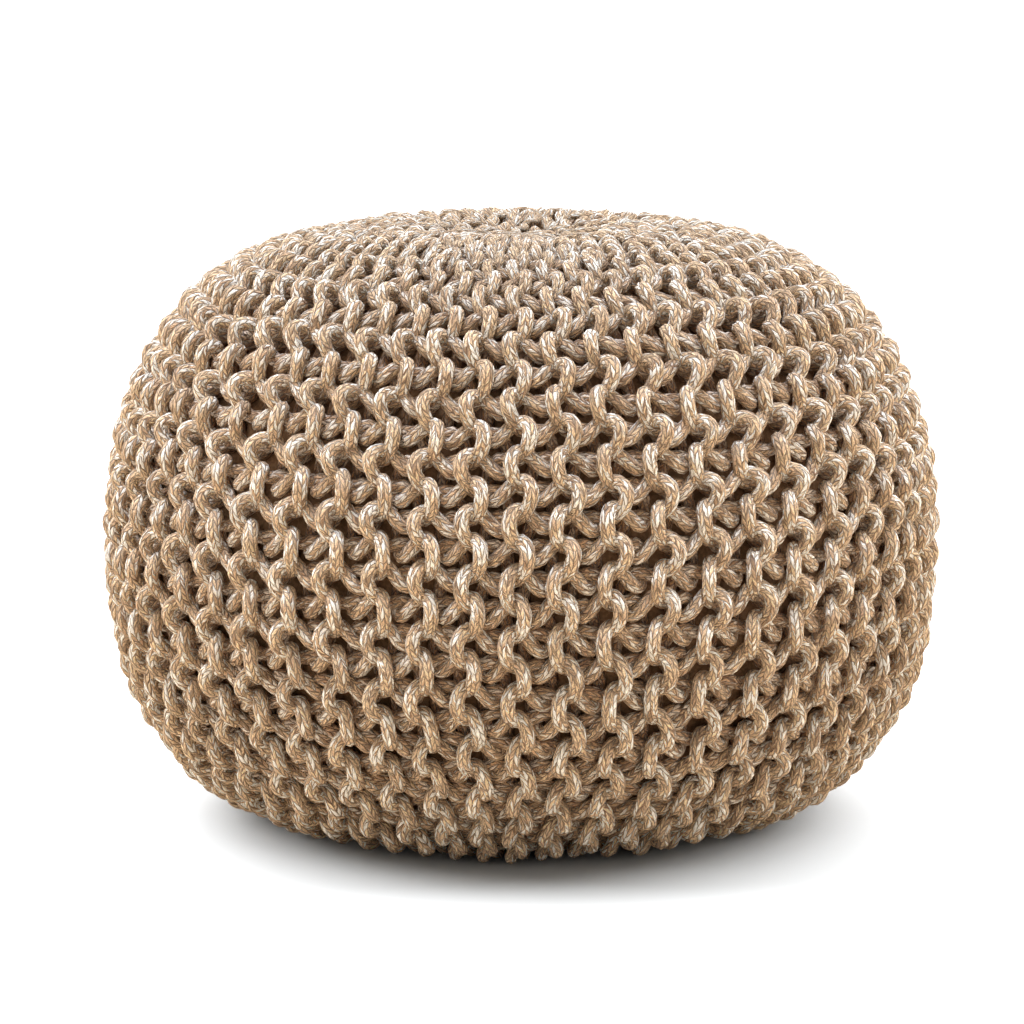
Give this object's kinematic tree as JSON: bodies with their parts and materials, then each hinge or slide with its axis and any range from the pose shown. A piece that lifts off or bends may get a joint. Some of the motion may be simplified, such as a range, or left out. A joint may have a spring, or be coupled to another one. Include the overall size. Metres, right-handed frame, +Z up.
{
  "type": "knitted pouf",
  "caption": "Round stuffed floor pouf in a thick cord garter-stitch cover, ridges running from a drawn-in top to a flat base.",
  "frame": {"origin": "middle of the flat face that rests on the floor", "axes": "+Z up through the drawn-in top; +X to the right and -Y to the front in the pictured view"},
  "size_m": [0.5078, 0.5076, 0.3554],
  "materials": {
    "knit": "matt tan melange cotton cord with cream flecks, garter stitch",
    "casing": "plain beige woven cotton, matt"
  },
  "bodies": {
    "root": {"knitted_pouf": "knit"}
  },
  "joints": []
}
